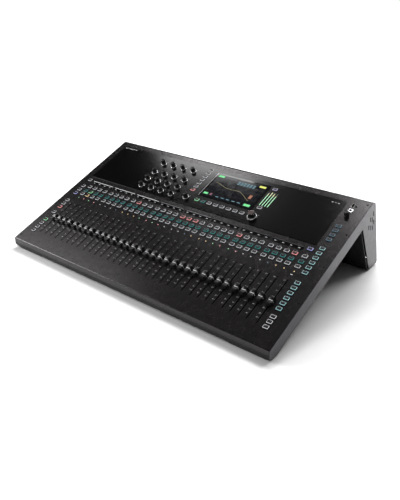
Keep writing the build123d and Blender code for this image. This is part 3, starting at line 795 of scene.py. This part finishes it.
def make_screen_picture():
    """A generic equaliser page: tabs, read-out blocks, a grid, a response curve and buttons."""
    low, high = panel_box("touchscreen_glass")
    draft = Draft()

    def at(a, b):
        return (low.x + a * (high.x - low.x), low.y + b * (high.y - low.y))

    def tile(a0, b0, a1, b1, paint, lift=2):
        height = high.z + PRINT_LIFT * lift
        corners = [at(a0, b0), at(a1, b0), at(a1, b1), at(a0, b1)]
        draft.face([(x, v, height) for x, v in corners], SCREEN_NAMES.index(paint))

    def line(points, width, paint, lift=3):
        height = high.z + PRINT_LIFT * lift
        for first, second in zip(points, points[1:]):
            stroke(draft, at(*first), at(*second), width, height, SCREEN_NAMES.index(paint))

    tile(*GROUND, "ground", 1)
    line([(0.012, 0.02), (0.012, 0.98)], 0.9, "edge")
    for step in range(1, 9):
        across = 0.09 + step * 0.085
        line([(across, 0.27), (across, 0.74)], 0.18, "grid", 2)
    for step in range(5):
        up = 0.28 + step * 0.11
        line([(0.09, up), (0.86, up)], 0.18, "grid", 2)
    line(response_curve(), 0.75, "curve")
    for shape in SCREEN_TILES:
        tile(*shape)
    for row in range(3):
        for column in range(6):
            left = 0.46 + column * 0.055
            front = 0.84 - row * 0.045
            tile(left, front, left + 0.04, front + 0.025, "teal")
    for column in range(5):
        left = 0.3 + column * 0.1
        tile(left, 0.11, left + 0.055, 0.135, "teal")
    finishes = [glow("screen_" + paint[0], *paint[1:]) for paint in SCREEN_PAINTS]
    piece = draft.piece("screen_picture", PANEL, finishes, smooth=False)
    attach(piece, "case")


# ---- printing ----
SCALE = (("10", 0.97), ("5", 0.85), ("0", 0.72), ("5", 0.59),
         ("10", 0.46), ("20", 0.31), ("30", 0.19), ("40", 0.1))
SCALE_INSET = 7.5            # how far a scale stays inside its fader track at each end
NUMBER_GAP = 3.9             # from the mute keys' back edges to the channel numbers behind them
SELECT_RULE_GAP = 3.7        # from the select keys' back edges to the rule behind them
LISTEN_RULE_GAP = 3.0        # from the listen keys' back edges to the rule behind them
MASTER_LAMP_GAP = 8.5        # from the back ends of the tracks to the master's lamp


def fader_scale(draft, x, front, back):
    for text, share in SCALE:
        v = front + share * (back - front)
        stroke(draft, (x - 4.6, v), (x - 2.6, v), 0.3, PRINT_LIFT)
        number(draft, text, x - 7.4, v, 2.3, PRINT_LIFT)


def make_panel_print():
    """Scales beside the slots, numbers behind the mute keys, rules between the key rows, a lamp."""
    draft = Draft()
    strips = [middle(box).x for box in solids("mute_keys")]
    tracks_front, tracks_back = [corner.y for corner in panel_box("fader_tracks")]
    numbers_v = panel_box("mute_keys")[1].y + NUMBER_GAP
    select_v = panel_box("select_keys")[1].y + SELECT_RULE_GAP
    listen_v = panel_box("listen_keys")[1].y + LISTEN_RULE_GAP
    for channel, x in enumerate(strips):
        fader_scale(draft, x, tracks_front + SCALE_INSET, tracks_back - SCALE_INSET)
        number(draft, str(channel + 1), x, numbers_v, 2.0, PRINT_LIFT)
        stroke(draft, (x - 3.0, select_v), (x + 3.0, select_v), 0.35, PRINT_LIFT, 1)
        stroke(draft, (x - 2.2, listen_v), (x + 2.2, listen_v), 0.35, PRINT_LIFT, 1)
    slab(draft, strips[-1] - 1.0, tracks_back + MASTER_LAMP_GAP, 5.2, 1.2, 0.4, 0.0, 0.25, 0.08, 2)
    piece = draft.piece("panel_print", PANEL, [WHITE_PRINT, GREY_PRINT, WHITE_LIGHT], smooth=False)
    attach(piece, "case")


DIAL_MARKS = 11
DIAL_START = 240             # degrees, at the least setting
DIAL_STEP = 30
DIAL_CLEARANCE = 2.0         # from an encoder's collar to the circle that its marks are placed on
LEFT_BARS = 9                # the ornament in the back left corner, bars of waving height
LEFT_BAR_PITCH = 5.2
LEFT_BAR_WIDTH = 3.2
RIGHT_BARS = 3               # the ornament in the back right corner, short dashes
RIGHT_BAR_PITCH = 8.0
RIGHT_BAR_LENGTH = 4.5


def make_fascia_print():
    """Dial marks round each encoder, a short bar behind it, and plain bars in the back corners."""
    draft = Draft()
    low, high = panel_box("control_fascia")
    lift = high.z + PRINT_LIFT
    for box in solids("encoder_rings"):
        centre = middle(box)
        reach = (box[1].x - box[0].x) / 2 + DIAL_CLEARANCE
        left = centre.x + reach * 0.75
        back = centre.y + reach * 0.7
        stroke(draft, (left, back), (left + 2.6, back), 0.9, lift)
        for step in range(DIAL_MARKS):
            angle = radians(DIAL_START - step * DIAL_STEP)
            away = Vector((cos(angle), sin(angle)))
            stroke(draft, centre.xy + away * (reach - 1.2), centre.xy + away * (reach - 0.4), 0.25, lift, 1)
    back = high.y - 5.0
    for step in range(LEFT_BARS):
        tall = 1.2 + 2.6 * (0.5 + 0.5 * cos(step * 1.4))
        x = low.x + 8.0 + step * LEFT_BAR_PITCH
        stroke(draft, (x, back - tall), (x, back), LEFT_BAR_WIDTH, lift)
    back = high.y - 12.5
    for step in range(RIGHT_BARS):
        x = high.x - 34.0 + step * RIGHT_BAR_PITCH
        stroke(draft, (x, back), (x + RIGHT_BAR_LENGTH, back), 2.4, lift, step % 2)
    piece = draft.piece("fascia_print", PANEL, [WHITE_PRINT, GREY_PRINT], smooth=False)
    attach(piece, "case")


# ---- rear ----
MIC_CONTACTS = ((-4.2, 2.2), (4.2, 2.2), (0.0, -4.6))
OUTPUT_CONTACTS = ((-4.8, 2.4), (4.8, 2.4), (0.0, -5.4))
# Inner radius, outer radius, lowest and highest places out of the rear face.
INSULATOR = (6.9, 7.75, 0.5, 1.75)
CONTACT = (1.2, 1.75, 0.2, 1.8)
PIN = ((1.25, -12.0), (1.25, -3.0), (1.0, -2.3), (0.4, -2.0))
PIN_STEPS = 14
TUBE_EDGE = 0.1


def rear_centre(box):
    """A socket's centre on the rear face, seen from behind."""
    centre = middle(box)
    return -centre.x, centre.z


def tube(draft, x, y, inner, outer, low, high, paint, count=16):
    """A short ring with eased upper edges."""
    levels = [(inner, low), (outer, low), (outer, high - TUBE_EDGE), (outer - TUBE_EDGE, high),
              (inner + TUBE_EDGE, high), (inner, high - TUBE_EDGE), (inner, low)]
    draft.loft([circle(x, y, reach, height, count) for reach, height in levels], paint, closed=False)


def make_contacts():
    """Black insulators with gold contacts in the microphone sockets, gold pins in the outputs."""
    draft = Draft()
    for x, y in map(rear_centre, solids("mic_sockets")):
        tube(draft, x, y, *INSULATOR, 1, 32)
        for dx, dy in MIC_CONTACTS:
            tube(draft, x + dx, y + dy, *CONTACT, 0)
    for x, y in map(rear_centre, solids("output_sockets")):
        for dx, dy in OUTPUT_CONTACTS:
            draft.loft([circle(x + dx, y + dy, reach, height, PIN_STEPS) for reach, height in PIN])
    piece = draft.piece("socket_contacts", REAR, [GOLD, DARK_PLASTIC])
    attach(piece, "case")


# How far a socket's number stands above its centre.
NUMBER_RISE = {"mic_sockets": 18.0, "output_sockets": 18.0, "line_jacks": 11.0}
NUMBER_SIZE = 3.2


def make_rear_print():
    """Socket numbers on the rear face, from the top left of each block."""
    draft = Draft()
    for node, rise in NUMBER_RISE.items():
        places = sorted(map(rear_centre, solids(node)), key=lambda place: (-round(place[1]), place[0]))
        for index, (x, y) in enumerate(places):
            number(draft, str(index + 1), x, y + rise, NUMBER_SIZE, PRINT_LIFT)
    piece = draft.piece("rear_print", REAR, [WHITE_PRINT], smooth=False)
    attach(piece, "case")


# ---- the object ----
PLASTIC_BELOW = 9.0          # a part of the headphone sockets narrower than this is black plastic

paint_cad_nodes()
# the inward faces of the data ports are painted dark, partly as painted shade in their openings
darken_hollows("data_ports")
darken_hollows("headphone_sockets", PLASTIC_BELOW)
key_group("mute_keys", "mute_key_caps", mute_state)
key_group("select_keys", "select_key_caps", select_state)
key_group("listen_keys", "listen_key_caps", listen_state)
key_group("function_keys", "function_key_caps", function_state)
key_group("soft_keys", "soft_key_caps", soft_state)
key_group("screen_keys", "screen_key_caps", screen_state)
make_faders()
make_knobs()
make_rings()
make_signal_lights()
make_display_marks()
make_screen_picture()
make_panel_print()
make_fascia_print()
make_contacts()
make_rear_print()


# ---- studio ----
FLOOR_SIZE = 3.6
CEILING = 2.0
BACKDROP_BRIGHTNESS = 1.05


def make_floor():
    mesh = bpy.data.meshes.new("floor")
    half = FLOOR_SIZE / 2
    corners = [(-half, -half, 0), (half, -half, 0), (half, half, 0), (-half, half, 0)]
    mesh.from_pydata(corners, [], [(0, 1, 2, 3)])
    paint = finish("floor_paint", (0.93, 0.93, 0.93), 0.8, grain=4.0, depth=0.02, mottle=0.01,
                   specular=0.1)
    mesh.materials.append(paint)
    floor = bpy.data.objects.new("floor", mesh)
    bpy.context.scene.collection.objects.link(floor)


def softbox(name, x, y, z, width, length, brightness, aim=None, reflected=True):
    """A rectangular lamp facing down, or facing a point, that the camera doesn't see itself."""
    lamp = bpy.data.lights.new(name, "AREA")
    lamp.shape = "RECTANGLE"
    lamp.size = width
    lamp.size_y = length
    lamp.energy = brightness * width * length * pi
    made = bpy.data.objects.new(name, lamp)
    made.location = (x, y, z)
    made.visible_camera = False
    made.visible_glossy = reflected
    if aim is not None:
        made.rotation_mode = "QUATERNION"
        made.rotation_quaternion = (Vector(aim) - Vector((x, y, z))).to_track_quat("-Z", "Y")
    bpy.context.scene.collection.objects.link(made)


def make_lights():
    softbox("back_left_box", -1.5, 1.3, CEILING, 0.85, 0.7, 7.0)
    softbox("front_left_box", -2.5, -0.45, CEILING, 1.9, 1.1, 2.3)
    softbox("back_right_box", 0.45, 1.45, CEILING, 1.6, 1.1, 9.0)
    softbox("overhead_box", -0.6, 1.0, CEILING + 0.6, 2.6, 2.2, 0.07)
    softbox("front_strip", -2.3, -1.36, 1.27, 1.3, 0.8, 17.0, aim=(0, 0, 0))
    softbox("key_box", -0.6, 1.3, CEILING + 0.6, 1.2, 1.2, 10.5, aim=(0, 0, 0), reflected=False)
    softbox("fill_box", 0.0, 0.0, CEILING + 0.7, 6.0, 6.0, 0.22, reflected=False)
    softbox("rear_box", 0.2, 3.0, 0.85, 1.8, 0.9, 10.0, aim=(0, 0, 0))
    make_backdrop()


def make_backdrop():
    """A plain white surround that is seen but gives no light."""
    world = bpy.data.worlds.new("studio")
    bpy.context.scene.world = world
    world.use_nodes = True
    background = world.node_tree.nodes["Background"]
    background.inputs["Color"].default_value = (1.0, 1.0, 1.0, 1)
    background.inputs["Strength"].default_value = BACKDROP_BRIGHTNESS
    world.cycles_visibility.diffuse = False
    world.cycles_visibility.glossy = False


# The camera looks down on the console from its front right corner.
CAMERA_AZIMUTH = radians(38.386)
CAMERA_ELEVATION = radians(27.079)
CAMERA_DISTANCE = 1.2938
CAMERA_ROLL = radians(-0.112)
CAMERA_LENS = 40.2
AIM_X = 108.45
AIM_V = 167.18


def make_camera():
    camera = bpy.data.cameras.new("camera")
    camera.lens = CAMERA_LENS
    camera.sensor_width = 36.0
    made = bpy.data.objects.new("camera", camera)
    level = cos(CAMERA_ELEVATION)
    back = Vector((sin(CAMERA_AZIMUTH) * level, -cos(CAMERA_AZIMUTH) * level, sin(CAMERA_ELEVATION)))
    target = PANEL @ Vector((AIM_X, AIM_V, 0))
    turn = (-back).to_track_quat("-Z", "Y").to_matrix().to_4x4() @ Matrix.Rotation(CAMERA_ROLL, 4, "Z")
    made.matrix_world = Matrix.Translation(target + back * CAMERA_DISTANCE) @ turn
    bpy.context.scene.collection.objects.link(made)
    bpy.context.scene.camera = made


make_floor()
make_lights()
make_camera()
bpy.context.scene.view_settings.view_transform = "Standard"
